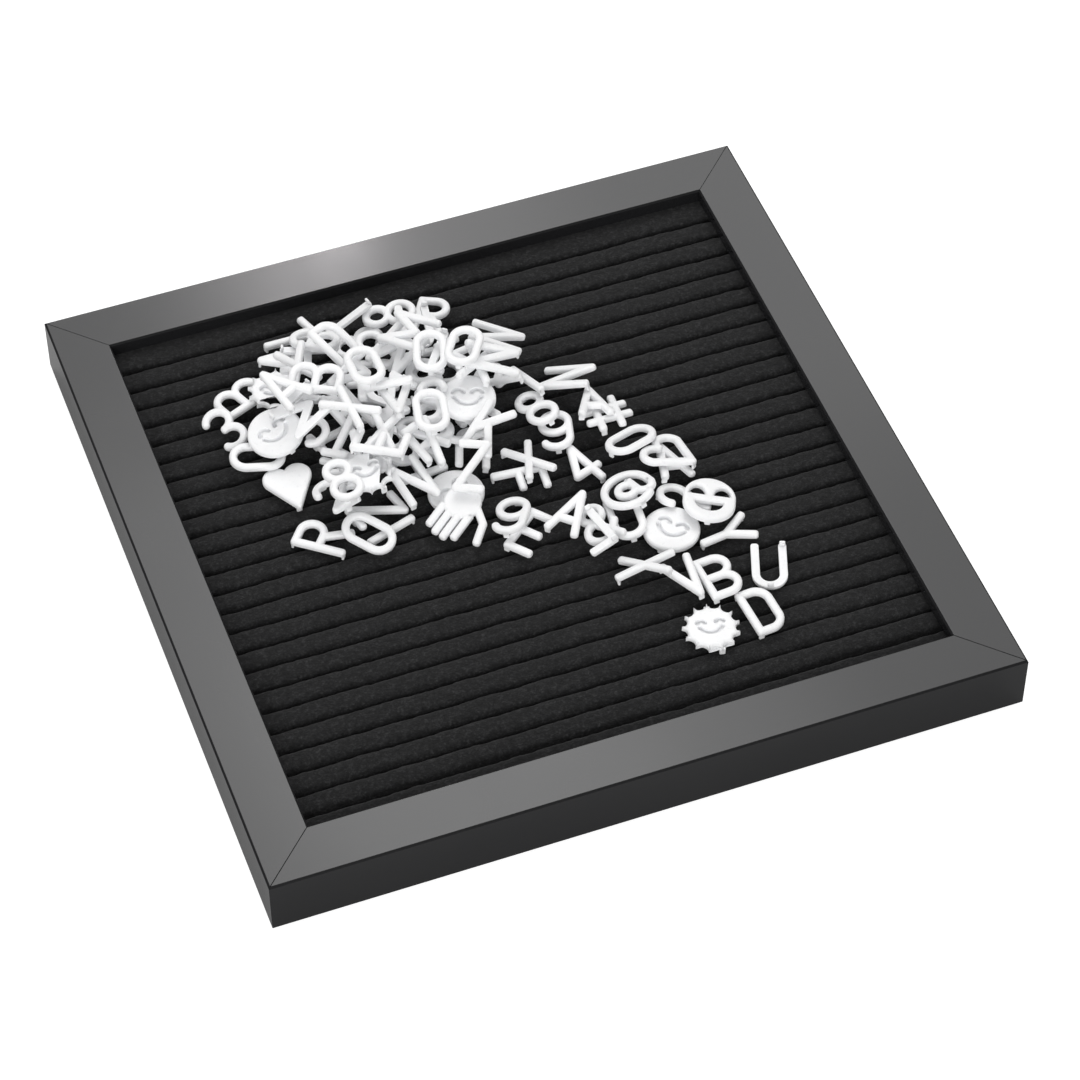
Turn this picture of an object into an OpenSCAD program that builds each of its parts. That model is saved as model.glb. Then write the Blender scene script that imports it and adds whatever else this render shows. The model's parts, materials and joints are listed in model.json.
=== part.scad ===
// Felt letter board with a spill of loose characters. Lies on its back, face up:
// +X along the grooves, +Y towards the top rail. The origin is under the middle of the board.

/* [Frame] */
// Outer side of the square frame
board_size = 254; // [240:1:300]
// Width of a rail, seen from the front
rail_w = 18.5; // [17:0.1:24]
// Height of a rail
rail_h = 21; // [18:0.5:26]
// Width of the lip that covers the panel's edge
lip_w = 6; // [4:0.5:8]
// Depth of the felt below the rail's top face
lip_h = 5; // [3:0.5:6]
// Chamfer along the rail's top edges
rail_chamfer = 0.6; // [0.4:0.1:1.6]

/* [Felt panel] */
// Number of grooves
groove_count = 24; // [20:1:24]
// Distance from one groove to the next
groove_pitch = 8.7; // [8.2:0.05:8.9]
// How far the grooves lie from the middle of the board, towards the top
groove_shift = -1; // [-2:0.5:2]
// Open width of a groove
groove_w = 1.4; // [1:0.1:2]
// Depth of a groove
groove_depth = 4; // [3.4:0.1:4.6]
// Thickness of the felt
felt_t = 1; // [0.6:0.1:1.2]
// How far a rib's soft shoulder reaches in from the groove
shoulder_w = 1.5; // [1:0.1:1.8]
// How far the shoulder drops at the groove
shoulder_h = 1.1; // [0.6:0.1:1.4]
// Thickness of the sheet under the slats
backing_t = 3; // [2:0.5:3.5]

/* [Back] */
// Thickness of the back panel
back_t = 2.5; // [2:0.5:3]
// Length of a retaining tab
tab_l = 14; // [12:1:18]
// Width of a retaining tab
tab_w = 8; // [6:1:12]
// Thickness of a retaining tab
tab_t = 0.5; // [0.4:0.1:0.8]
// How far a tab is driven into its rail
tab_grip = 5; // [4:0.5:6]
// Distance of the tabs from the middle of their rail
tab_x = 60; // [40:5:80]
// Length of each arm of a corner V-nail
vnail_arm = 4; // [3:0.5:4.5]
// Thickness of a V-nail's steel
vnail_t = 0.5; // [0.4:0.1:0.7]
// Height of a V-nail
vnail_h = 8; // [6:0.5:9]
// Diameter of a bumper
bumper_d = 10; // [8:0.5:12]
// Height of a bumper
bumper_t = 1.5; // [1.4:0.1:2.5]
// Distance of bumpers and hanger from the frame's outer edge
back_inset = 6.4; // [6:0.1:7]

/* [Hanger] */
// Length of the sawtooth hanger
hanger_l = 45; // [40:1:60]
// Width of the hanger
hanger_w = 8; // [7:0.5:9]
// Thickness of the hanger's plate
hanger_t = 0.8; // [0.6:0.1:0.8]
// Room for a wall nail between the plate and the rail
hanger_lift = 0.5; // [0.4:0.1:0.6]
// Length of the pad at each end of the hanger
hanger_pad = 8; // [7:0.5:9]
// Number of sawteeth
tooth_count = 9; // [7:1:11]
// Distance from tooth to tooth
tooth_pitch = 2.6; // [2:0.1:2.6]
// Height of a tooth
tooth_h = 1.3; // [0.8:0.1:1.6]
// Diameter of a hanger nail
nail_d = 1.4; // [1.2:0.1:1.8]
// Diameter of its head
nail_head_d = 3; // [2.6:0.1:3.6]
// Thickness of its head
nail_head_t = 0.5; // [0.4:0.1:0.6]
// Length of its shank
nail_l = 10; // [8:1:12]

/* [Characters] */
// Width of an average character
char_w = 11.8; // [11:0.1:13]
// Width of a character's strokes
stroke = 2.7; // [2.3:0.1:3]
// Thickness of a character
char_t = 2; // [1.6:0.1:2.6]
// Width of a peg at a character's back
peg_w = 2; // [1.6:0.1:2.4]
// Thickness of a peg
peg_t = 0.9; // [0.7:0.1:1]
// Length of a peg
peg_h = 1.7; // [1.4:0.1:2.4]
// Radius of the round characters
disc_r = 9.5; // [9:0.1:10]
// Depth of the features sunk into a face
face_depth = 1; // [0.4:0.1:1.2]
// Width of those features
face_pen = 1.5; // [1.2:0.1:1.8]

/* [Clearances] */
// Room between the panel and the rebate, each side
panel_gap = 0.3; // [0.2:0.05:0.5]
// Half the hairline at a mitre
mitre_gap = 0.05; // [0.02:0.01:0.1]
// Room between a tab and the panel
tab_gap = 0.1; // [0.05:0.05:0.2]
// Room round a nail's head
head_gap = 0.1; // [0.05:0.05:0.2]
// Least room under a resting character
rest_gap = 0.1; // [0.05:0.05:0.2]

/* [Hidden] */
$fn = 48;
half = board_size / 2;
// heights, from the surface that the bumpers stand on
rail_z = bumper_t;
top_z = rail_z + rail_h;
felt_z = top_z - lip_h;
slat_z = felt_z - groove_depth - felt_t;
backing_z = slat_z - backing_t;
back_z = backing_z - back_t;
// the panel behind the lip
rebate_u = rail_w - lip_w;
panel = board_size - 2 * (rebate_u + panel_gap);
slat_gap = groove_w + 2 * felt_t;
function groove_y(k) = groove_shift + (k - (groove_count - 1) / 2) * groove_pitch;

// A character is drawn round its own middle. Its pegs stand two grooves apart.
peg_inset = 0.6;
h = groove_pitch - peg_inset;
w = (char_w - stroke) / 2;
e = h + stroke / 2;
m = h - w;
lobe = h / 2;

// A stroke is a line through points, an arc, a filled circle or a filled outline
function line(points) = ["line", points];
function arc(c, r, from, to) = ["arc", c, r, from, to];
function ring(c, r) = ["ring", c, r];
function blob(c, r) = ["blob", c, r];
function patch(points) = ["patch", points];
function half_oval(c, rx, ry) = patch([for (a = [0:15:180]) c + [rx * cos(a), ry * sin(a)]]);
// An arc of the feature pen's width with round ends, as one outline
function way(a) = [cos(a), sin(a)];
function bow(c, r, from, to) = patch(concat(
    [for (a = [from:15:to]) c + (r + face_pen / 2) * way(a)],
    [for (b = [30:30:150]) c + r * way(to) + face_pen / 2 * way(to + b)],
    [for (a = [to:-15:from]) c + (r - face_pen / 2) * way(a)],
    [for (b = [30:30:150]) c + r * way(from) + face_pen / 2 * way(from + 180 + b)]));

stem = line([[-w, -e], [-w, e]]);
bowl = [line([[-w, h], [0.5, h]]), arc([0.5, lobe], lobe, 90, -90), line([[-w, 0], [0.5, 0]])];
oval = [arc([0, m], w, 0, 180), arc([0, -m], w, 180, 360),
        line([[w, m], [w, -m]]), line([[-w, m], [-w, -m]])];
rays = 13;

// Each character: name, x of the top peg, x of the bottom peg, strokes, holes, sunk features
GLYPHS = [
    ["A", 0, -1.08 * w, [line([[-1.12 * w, -e], [0, h], [1.12 * w, -e]]),
        line([[-0.7 * w, -0.4 * h], [0.7 * w, -0.4 * h]])]],
    ["B", -w, -w, concat([stem], bowl, [line([[-w, -h], [0.8, -h]]), line([[0.5, 0], [0.8, 0]]),
        arc([0.8, -lobe], lobe, 90, -90)])],
    ["C", 0, 0, [arc([0, m], w, 20, 180), arc([0, -m], w, 180, 340), line([[-w, m], [-w, -m]])]],
    ["D", -w, -w, [stem, line([[-w, h], [-0.5, h]]), line([[-w, -h], [-0.5, -h]]),
        arc([-0.5, h - w], w, 0, 90), arc([-0.5, w - h], w, -90, 0),
        line([[w - 0.5, m], [w - 0.5, -m]])]],
    ["E", -w, -w, [stem, line([[-w, h], [w, h]]), line([[-w, 0], [0.8 * w, 0]]),
        line([[-w, -h], [w, -h]])]],
    ["F", -w, -w, [stem, line([[-w, h], [w, h]]), line([[-w, 0], [0.8 * w, 0]])]],
    ["G", 0, 0, [arc([0, m], w, 25, 180), arc([0, -m], w, 180, 360), line([[-w, m], [-w, -m]]),
        line([[w, -m], [w, -0.2], [0.2 * w, -0.2]])]],
    ["H", -w, -w, [stem, line([[w, -e], [w, e]]), line([[-w, 0], [w, 0]])]],
    ["I", 0, 0, [line([[0, -e], [0, e]])]],
    ["J", w, 0, [arc([0, -m], w, 180, 360), line([[w, -m], [w, e]])]],
    ["K", -w, -w, [stem, line([[-w, -0.3 * h], [1.1 * w, e]]), line([[-0.3 * w, 0.2 * h], [1.1 * w, -e]])]],
    ["L", -w, -w, [stem, line([[-w, -h], [w, -h]])]],
    ["M", -1.3 * w, -1.3 * w,
        [line([[-1.3 * w, -e], [-1.3 * w, h], [0, -0.4 * h], [1.3 * w, h], [1.3 * w, -e]])]],
    ["N", -w, -w, [line([[-w, -e], [-w, h], [w, -h], [w, e]])]],
    ["O", 0, 0, oval],
    ["P", -w, -w, concat([stem], bowl)],
    ["Q", 0, 0, concat(oval, [line([[0.2 * w, -0.4 * h], [1.2 * w, -e]])])],
    ["R", -w, -w, concat([stem], bowl, [line([[0, 0], [1.1 * w, -e]])])],
    ["S", 0, 0, [arc([0, lobe], lobe, 20, 270), arc([0, -lobe], lobe, 90, -160)]],
    ["T", 0, 0, [line([[-1.1 * w, h], [1.1 * w, h]]), line([[0, h], [0, -e]])]],
    ["U", -w, 0, [arc([0, -m], w, 180, 360), line([[-w, -m], [-w, e]]), line([[w, -m], [w, e]])]],
    ["V", -1.02 * w, 0, [line([[-1.05 * w, e], [0, -h], [1.05 * w, e]])]],
    ["W", -1.4 * w, -0.74 * w,
        [line([[-1.45 * w, e], [-0.75 * w, -h], [0, 0.5 * h], [0.75 * w, -h], [1.45 * w, e]])]],
    ["X", -1.02 * w, -1.02 * w,
        [line([[-1.12 * w, -e], [1.12 * w, e]]), line([[-1.12 * w, e], [1.12 * w, -e]])]],
    ["Y", -1.05 * w, 0, [line([[-1.15 * w, e], [0, 0], [1.15 * w, e]]), line([[0, 0], [0, -e]])]],
    ["Z", 0, 0, [line([[-1.1 * w, h], [w, h], [-w, -h], [1.1 * w, -h]])]],
    ["1", 0.4, 0.4, [line([[-0.7 * w, 0.6 * h], [0.4, h]]), line([[0.4, e], [0.4, -e]])]],
    ["2", 0, 0, [arc([0, m], w, 180, -40), line([[0.77 * w, m - 0.64 * w], [-0.9 * w, -h], [1.1 * w, -h]])]],
    ["3", 0, 0, [arc([0, lobe], lobe, 150, -90), arc([0, -lobe], lobe, 90, -150)]],
    ["4", 0.4 * w, 0.4 * w, [line([[0.4 * w, -e], [0.4 * w, h], [-w, -0.4 * h], [1.2 * w, -0.4 * h]])]],
    ["5", 0, 0, [line([[w, h], [-0.8 * w, h], [-0.8 * w, 0.1 * h]]),
        arc([-0.1 * w, -m], w, 130, -140)]],
    ["6", 0, 0, [ring([0, -m], w), arc([0, m], w, 30, 180), line([[-w, m], [-w, -m]])]],
    ["7", 0, -0.4 * w, [line([[-1.1 * w, h], [w, h], [-0.45 * w, -e]])]],
    ["8", 0, 0, [ring([0, 0.54 * h], 0.46 * h), ring([0, -0.46 * h], 0.54 * h)]],
    ["9", 0, 0, [ring([0, m], w), arc([0, -m], w, 0, -150), line([[w, m], [w, -m]])]],
    ["and", -0.6, -1.2, [ring([-0.6, 0.56 * h], 0.42 * h), arc([-1.2, -0.48 * h], 0.52 * h, 70, 320),
        line([[-0.6 * w, 0.3 * h], [1.2 * w, -e]]), line([[0.45 * w, -0.8 * h], [1.2 * w, -0.1 * h]])]],
    ["at", 0, 0, [arc([0, 0], h - 0.2, 0, 305), ring([-0.4, 0], 0.36 * h),
        line([[0.32 * h, 0.5 * h], [0.32 * h, -0.25 * h]]),
        arc([0.65 * h, -0.25 * h], 0.33 * h, 180, 360), line([[h - 0.2, -0.25 * h], [h - 0.2, 0]])]],
    ["hash", -0.5 * w, -0.9 * w, [
        line([[-0.95 * w, -e], [-0.45 * w, e]]), line([[0.55 * w, -e], [1.05 * w, e]]),
        line([[-1.8 * w, 0.4 * h], [1.8 * w, 0.4 * h]]), line([[-1.8 * w, -0.4 * h], [1.8 * w, -0.4 * h]])]],
    ["heart", -0.9 * w, 0, [
        arc([-0.9 * w, 0.45 * h], 0.9 * w, 20, 200), arc([0.9 * w, 0.45 * h], 0.9 * w, -20, 160),
        line([[-1.74 * w, 0.27 * h], [0, -h], [1.74 * w, 0.27 * h]])]],
    ["full_heart", -0.8 * w, 0, [
        blob([-0.8 * w, 0.55 * h], 1.05 * w), blob([0.8 * w, 0.55 * h], 1.05 * w),
        patch([[-1.7 * w, 0.25 * h], [0, -1.35 * h], [1.7 * w, 0.25 * h], [0, 0.8 * h]])]],
    ["smiley", 0, 0, [blob([0, 0], disc_r)], [],
        [bow([0, 0.2 * disc_r], 0.53 * disc_r, 203, 338),
         bow([-0.33 * disc_r, 0.14 * disc_r], 0.19 * disc_r, 15, 165),
         bow([0.33 * disc_r, 0.14 * disc_r], 0.19 * disc_r, 15, 165)]],
    ["open_face", 0, 0, [blob([0, 1], 0.93 * disc_r), blob([0, -1], 0.93 * disc_r)],
        [half_oval([-0.44 * disc_r, 0.2 * disc_r], 0.29 * disc_r, 0.42 * disc_r),
         half_oval([0.44 * disc_r, 0.2 * disc_r], 0.29 * disc_r, 0.42 * disc_r),
         half_oval([0, -0.12 * disc_r], 0.5 * disc_r, -0.44 * disc_r)]],
    ["sun", 0, groove_pitch * tan(180 / rays), [blob([0, 0], disc_r)],
        [for (k = [0:rays - 1]) let (a = 90 + 360 * (k + 0.5) / rays)
            blob(1.105 * disc_r * [cos(a), sin(a)], 0.27 * disc_r)],
        [bow([0, 0.22 * disc_r], 0.45 * disc_r, 210, 330),
         bow([-0.32 * disc_r, 0.16 * disc_r], 0.13 * disc_r, 15, 165),
         bow([0.32 * disc_r, 0.16 * disc_r], 0.13 * disc_r, 15, 165)]],
    ["hand", -0.36 * w, 0, [blob([0, -0.35 * h], 0.68 * disc_r),
        line([[-1.08 * w, 0], [-1.08 * w, 1.35 * h]]),
        line([[-0.36 * w, 0], [-0.36 * w, 1.55 * h]]), line([[0.36 * w, 0], [0.36 * w, 1.5 * h]]),
        line([[1.08 * w, 0], [1.08 * w, 1.3 * h]]),
        line([[-0.8 * w, -0.6 * h], [-2.3 * w, 0.1 * h], [-2.8 * w, 1.1 * h]])]],
];
function glyph(name) = GLYPHS[search([name], GLYPHS)[0]];

// A layer of the heap: rows of characters inside an oval, each turned a little out of line
row_step = [15, 20.5];
function layer(names, centre, reach, turn) = [for (j = [-2:2], i = [-3:3])
    let (k = i + 3 + 7 * (j + 2),
         offset = turned([(i + 0.5 * abs(j % 2)) * row_step.x, j * row_step.y], turn),
         place = centre + offset)
    if (norm([offset.x / reach.x, offset.y / reach.y]) < 1)
        [names[k % len(names)], place.x, place.y, turn + 18 * sin(97 * k), k % 4 == 1]];

// Loose characters from the lowest up: node, then name, x, y, turn and whether it lies face down
LOOSE = [
    ["smiling_sun", [["sun", 38, -77.5, -12]]],
    ["letter_d", [["D", 56.5, -76, 4]]],
    ["letter_b", [["B", 48, -59, 2]]],
    ["letter_v", [["V", 38, -57, 9]]],
    ["letter_x", [["X", 27, -47.5, 64]]],
    ["letter_y", [["Y", 57.5, -42, -82]]],
    ["letter_u", [["U", 66, -59, -20, true]]],
    ["smiley_front", [["smiley", 41.5, -34, -46]]],
    ["digit_two", [["2", 50, -23.5, 60]]],
    ["open_face", [["open_face", 56.5, -29.5, -25]]],
    ["letter_u_low", [["U", 29, -25.5, -6]]],
    ["at_sign", [["at", 33, -16.5, 15]]],
    ["letter_e_low", [["E", -2, -19.5, -50]]],
    ["digit_nine", [["9", -6.5, -12, -31]]],
    ["ampersand", [["and", 19.5, -25, 5]]],
    ["letter_l", [["L", 15, -29.5, 10, true]]],
    ["letter_a_front", [["A", 12, -19.5, -46]]],
    ["digit_four", [["4", 24, 3, 20]]],
    ["letter_a_right", [["A", 51, -7, 0]]],
    ["open_heart", [["heart", 52, -7, 38]]],
    ["letter_o_right", [["O", 41.5, 3, -70]]],
    ["hash_sign", [["hash", 39, 19, 0]]],
    ["letter_a_rear", [["A", 36, 25, -12]]],
    ["letter_f", [["F", 2.5, 3, -95]]],
    ["letter_n", [["N", 32.5, 39.5, 55]]],
    ["digit_nine_rear", [["9", 21, 19.5, -15]]],
    ["letter_x_rear", [["X", 7.5, 9.5, 10]]],
    ["digit_eight", [["8", 18, 30, 15]]],
    ["digit_seven", [["7", 18, 42, 35]]],
    ["letter_r", [["R", -67, 3, 52]]],
    ["letter_i", [["I", -45, -2, -72]]],
    ["letter_z", [["Z", -47, 7, -75]]],
    ["letter_o_left", [["O", -53, -3, 43]]],
    ["smiley_middle", [["smiley", -19.5, 6, 30]]],
    ["open_hand", [["hand", -22, -3, 127]]],
    ["full_heart", [["full_heart", -70, 27.5, 0]]],
    ["heap_edge", [["B", -74, 72, 113], ["3", -83, 59, 20], ["sun", -62, 69, 10], ["7", -49.5, 93, -70],
        ["A", -55, 80, 75], ["P", 11.5, 48.5, 60], ["U", -8, 22, 160]]],
    ["heap_floor", layer("ENKTAHRPGYCLJZOBSVU3", [-28, 52], [40, 36], 90)],
    ["heap_rear", [["R", -1, 84, -30], ["8", -15, 87, 80], ["I", -28.5, 89, -75, true], ["6", -44, 80, 40]]],
    ["heap_lower", layer("FBVXDSUQIO3KANT5H29", [-28, 52], [36, 33], 10)],
    ["heap_left", [["O", -77, 42, 75], ["smiley", -69, 46, 20], ["2", -59, 13, 14]]],
    ["heap_right", [["smiley", -5, 34.5, -20], ["N", 14, 59, 60], ["K", -3, 19, -50], ["Z", -13.5, 7, -25]]],
    ["heap_front", [["N", -32.5, 12, 10], ["A", -26, 24, 30], ["W", -42, 25, -20], ["sun", -47.5, 13.5, 5],
        ["8", -56.5, 12, 5]]],
    ["heap_core", layer("RSZ4CAE9XTMHFOG", [-28, 47], [32, 28], 135)],
    ["heap_middle", [["V", -29, 37.5, -12], ["T", -30.5, 44, 75], ["B", -51, 56, 60],
        ["7", -24, 19, 20], ["E", -40, 21, 55], ["N", 7, 43.5, 70], ["M", -14, 68, 40],
        ["A", -63.5, 55, 30]]],
    ["heap_upper", [["O", -35, 52.5, 0], ["O", -11.5, 53.5, -18], ["O", -1.5, 47.5, -32],
        ["O", -20, 28.5, -12], ["X", -45.5, 36.5, 30]]],
];

// How the characters come to rest: each one takes the lean at which it lies lowest and drops until
// it touches. Small discs along the strokes stand for its outline.
probe = 2.5;
probe_slack = 0.15;
peg_probe = 1.3;
near_by = 24;
// how much height a flatter lie is worth
flatness = 1.5;

function turned(p, a) = [p.x * cos(a) - p.y * sin(a), p.x * sin(a) + p.y * cos(a)];
function disc_over(length, n) = norm([stroke, length / n]) / 2 + probe_slack;
function bar_probes(a, b) = let (length = norm(b - a), n = ceil(length / probe))
    [for (i = [0.5:n]) concat(a + (b - a) * i / n, [disc_over(length, n)])];
function arc_probes(c, r, from, to) = let (length = PI / 180 * r * abs(to - from), n = ceil(length / probe))
    [for (i = [0.5:n]) let (a = from + (to - from) * i / n)
        concat(c + r * [cos(a), sin(a)], [disc_over(length, n)])];
function round_probe(p) = concat(p, [stroke / 2 + probe_slack]);
function patch_probe(points) = let (c = [for (p = points) 1 / len(points)] * points)
    concat(c, [max([for (p = points) norm(p - c)])]);
function probes(s) =
    s[0] == "line" ? [for (i = [1:len(s[1]) - 1]) each bar_probes(s[1][i - 1], s[1][i]),
        for (i = [1:1:len(s[1]) - 2]) round_probe(s[1][i])]
    : s[0] == "arc" ? [each arc_probes(s[1], s[2], s[3], s[4]),
        for (a = [s[3], s[4]]) round_probe(s[1] + s[2] * [cos(a), sin(a)])]
    : s[0] == "ring" ? arc_probes(s[1], s[2], 0, 360)
    : s[0] == "blob" ? [concat(s[1], [s[2] + probe_slack])]
    : [patch_probe(s[1])];

// A piece is [node, name, x, y, turn, face down], and settled it has its height, lean and probes too
function own_probes(piece) = let (g = glyph(piece[1]), down = piece[5] == true)
    [for (p = concat([for (s = g[3]) each [for (q = probes(s)) concat(q, [0, char_t])]],
                     [for (peg = [[g[1], groove_pitch], [g[2], -groove_pitch]])
                         concat(peg, [peg_probe], down ? [0, char_t + peg_h] : [-peg_h, char_t])]))
        let (q = turned([down ? -p.x : p.x, p.y], piece[4]))
            [q.x + piece[2], q.y + piece[3], p[2], p[3], p[4]]];
function plane_at(b, p) = b[6] + b[7] * [p.x - b[2], p.y - b[3]];
// What a piece must clear: a place on it, how far that reaches, a height there, its own lowest point
// and a slope
function touches(piece, own, below) = let (c = [piece[2], piece[3]]) concat(
    [for (p = own) [[p.x, p.y] - c, p[2], felt_z, p[3], [0, 0]]],
    [for (b = below) if (norm([b[2], b[3]] - c) < near_by) each [for (p = own, q = b[8])
        if (norm([p.x - q.x, p.y - q.y]) < p[2] + q[2]) let (at = q[2] < p[2] ? q : p)
            [[at.x, at.y] - c, at[2], plane_at(b, at) + q[4] * norm([1, b[7].x, b[7].y]), p[3], b[7]]]]);
function height(lean, marks) = let (sec = norm([1, lean.x, lean.y]))
    max([for (k = marks) k[2] - k[3] * sec - lean * k[0] + norm(lean - k[4]) * k[1]]);
function lowest(leans, marks) =
    let (z = [for (lean = leans) height(lean, marks) + flatness * norm(lean)], least = min(z))
    leans[search(least, z)[0]];
function leans_round(lean, step, n) = [for (i = [-n:n], j = [-n:n]) lean + step * [i, j]];
function settled(piece, below) = let (
    own = own_probes(piece),
    marks = touches(piece, own, below),
    lean = len(marks) == len(own) ? [0, 0]
        : lowest(leans_round(lowest(leans_round([0, 0], 0.1, 3), marks), 0.03, 1), marks))
    concat([for (i = [0:5]) piece[i]], [height(lean, marks) + rest_gap, lean, own]);
function pile(pieces, i, done) =
    i == len(pieces) ? done : pile(pieces, i + 1, concat(done, [settled(pieces[i], done)]));
SETTLED = pile([for (item = LOOSE) for (p = item[1]) concat([item[0]], p)], 0, []);

BOARD_NODES = ["rear_rail", "front_rail", "left_rail", "right_rail", "corner_v_nails", "groove_slats",
    "slat_backing", "felt_face", "back_panel", "retaining_tabs", "sawtooth_hanger", "hanger_nails",
    "wall_bumpers"];

black = "#1b1b1d";
steel = "#b9bcc0";
white = "#f4f4f2";

// Section of a rail: x inwards from the outer face, y up
module rail_section() {
    polygon([[0, 0], [0, rail_h - rail_chamfer], [rail_chamfer, rail_h], [rail_w - rail_chamfer, rail_h],
             [rail_w, rail_h - rail_chamfer], [rail_w, rail_h - lip_h], [rebate_u, rail_h - lip_h],
             [rebate_u, 0]]);
}

// The front rail, mitred at both ends
module mitred_rail() {
    intersection() {
        translate([-half, -half, rail_z]) rotate([90, 0, 90]) linear_extrude(board_size) rail_section();
        translate([0, 0, rail_z - 1]) linear_extrude(rail_h + 2)
            polygon([[-half + mitre_gap, -half], [half - mitre_gap, -half],
                     [half - mitre_gap - rail_w, rail_w - half], [rail_w - half + mitre_gap, rail_w - half]]);
    }
}

module rail(side) {
    color(black) difference() {
        rotate(side) mitred_rail();
        v_nails();
        tabs();
        nails();
    }
}
module front_rail() { rail(0); }
module right_rail() { rail(90); }
module rear_rail() { rail(180); }
module left_rail() { rail(270); }

module v_nails() {
    for (side = [0:90:270], u = [rebate_u / 4, rebate_u / 2])
        rotate(side) translate([u - half, u - half, rail_z]) linear_extrude(vnail_h)
            polygon([[0, 0], [vnail_arm, 0], [vnail_arm, vnail_t], [vnail_t, vnail_t],
                     [vnail_t, vnail_arm], [0, vnail_arm]]);
}
module corner_v_nails() { color(steel) v_nails(); }

module tabs() {
    for (side = [0:90:270], x = [-tab_x, tab_x])
        rotate(side) translate([x - tab_w / 2, rebate_u - half - tab_grip, back_z - tab_gap - tab_t])
            cube([tab_w, tab_l, tab_t]);
}
module retaining_tabs() { color(steel) tabs(); }

// Sawtooth hanger under the rear rail, its teeth towards the middle of the board
hanger_y = half - back_inset;
nail_x = (hanger_l - hanger_pad) / 2;
module nails() {
    for (x = [-nail_x, nail_x]) translate([x, hanger_y, 0]) {
        head_z = rail_z - hanger_lift - hanger_t + head_gap;
        translate([0, 0, head_z]) cylinder(d = nail_head_d, h = nail_head_t);
        translate([0, 0, head_z]) cylinder(d = nail_d, h = nail_l);
    }
}
module hanger_nails() { color(steel) nails(); }
module sawtooth_hanger() {
    low_z = rail_z - hanger_lift - hanger_t;
    teeth = tooth_count * tooth_pitch;
    color(steel) difference() {
        union() {
            translate([0, hanger_y, low_z]) linear_extrude(hanger_t) polygon(concat(
                [[hanger_l / 2, -hanger_w / 2], [hanger_l / 2, hanger_w / 2],
                 [-hanger_l / 2, hanger_w / 2], [-hanger_l / 2, -hanger_w / 2]],
                [for (k = [0:2 * tooth_count])
                    [-teeth / 2 + k * tooth_pitch / 2, -hanger_w / 2 + (k % 2 == 0 ? 0 : tooth_h)]]));
            for (x = [-1, 1]) translate([x * nail_x - hanger_pad / 2, hanger_y - hanger_w / 2, low_z])
                cube([hanger_pad, hanger_w, hanger_t + hanger_lift]);
        }
        for (x = [-nail_x, nail_x]) translate([x, hanger_y, low_z - 1]) {
            cylinder(d = nail_d, h = hanger_t + hanger_lift + 2);
            cylinder(d = nail_head_d + 2 * head_gap, h = 1 + head_gap + nail_head_t);
        }
    }
}

module wall_bumpers() {
    color("#2a2a2a") for (x = [-1, 1], y = [-1, 1])
        translate([x * (half - back_inset), y * (half - back_inset), 0]) cylinder(d = bumper_d, h = bumper_t);
}

// The panel's pieces, drawn across the grooves and drawn out along them
module along_grooves() {
    translate([-panel / 2, 0, 0]) rotate([90, 0, 90]) linear_extrude(panel) children();
}
module slats_2d() {
    for (k = [0:groove_count]) {
        from = k == 0 ? -panel / 2 : groove_y(k - 1) + slat_gap / 2;
        to = k == groove_count ? panel / 2 : groove_y(k) - slat_gap / 2;
        translate([from, slat_z]) square([to - from, felt_z - felt_t - slat_z]);
    }
}
module groove_slats() { color("#6b4f36") along_grooves() slats_2d(); }
module felt_face() {
    color("#222224") along_grooves() difference() {
        translate([-panel / 2, slat_z]) square([panel, felt_z - slat_z]);
        slats_2d();
        for (k = [0:groove_count - 1]) translate([groove_y(k), felt_z])
            polygon([[-groove_w / 2 - shoulder_w, 0], [-groove_w / 2, -shoulder_h],
                     [-groove_w / 2, -groove_depth], [groove_w / 2, -groove_depth],
                     [groove_w / 2, -shoulder_h], [groove_w / 2 + shoulder_w, 0], [0, 1]]);
    }
}
module panel_sheet(z, t) { translate([-panel / 2, -panel / 2, z]) cube([panel, panel, t]); }
module slat_backing() { color("#8a6a48") panel_sheet(backing_z, backing_t); }
module back_panel() { color("#5a4030") panel_sheet(back_z, back_t); }

// A character's strokes, drawn with a pen of the given width
module bar_2d(a, b, pen) {
    translate(a) rotate(atan2(b.y - a.y, b.x - a.x)) translate([0, -pen / 2]) square([norm(b - a), pen]);
}
module ring_2d(r, pen) { difference() { circle(r = r + pen / 2); circle(r = r - pen / 2); } }
module arc_2d(r, from, to, pen) {
    intersection() {
        ring_2d(r, pen);
        polygon(concat([[0, 0]], [for (k = [0:8]) let (a = from + (to - from) * k / 8)
            2 * (r + pen) * [cos(a), sin(a)]]));
    }
    for (a = [from, to]) translate(r * [cos(a), sin(a)]) circle(d = pen);
}
module strokes_2d(strokes, pen) {
    for (s = strokes) {
        if (s[0] == "line") {
            for (i = [1:len(s[1]) - 1]) bar_2d(s[1][i - 1], s[1][i], pen);
            for (i = [1:1:len(s[1]) - 2]) translate(s[1][i]) circle(d = pen);
        }
        if (s[0] == "arc") translate(s[1]) arc_2d(s[2], s[3], s[4], pen);
        if (s[0] == "ring") translate(s[1]) ring_2d(s[2], pen);
        if (s[0] == "blob") translate(s[1]) circle(r = s[2]);
        if (s[0] == "patch") polygon(s[1]);
    }
}
module character(name) {
    g = glyph(name);
    difference() {
        union() {
            linear_extrude(char_t) difference() {
                strokes_2d(g[3], stroke);
                if (len(g) > 4) strokes_2d(g[4], stroke);
            }
            for (peg = [[g[1], groove_pitch], [g[2], -groove_pitch]])
                translate([peg.x - peg_w / 2, peg.y - peg_t / 2, -peg_h])
                    cube([peg_w, peg_t, peg_h + char_t / 2]);
        }
        if (len(g) > 5) translate([0, 0, char_t - face_depth]) linear_extrude(face_depth + 1)
            strokes_2d(g[5], face_pen);
    }
}
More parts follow.
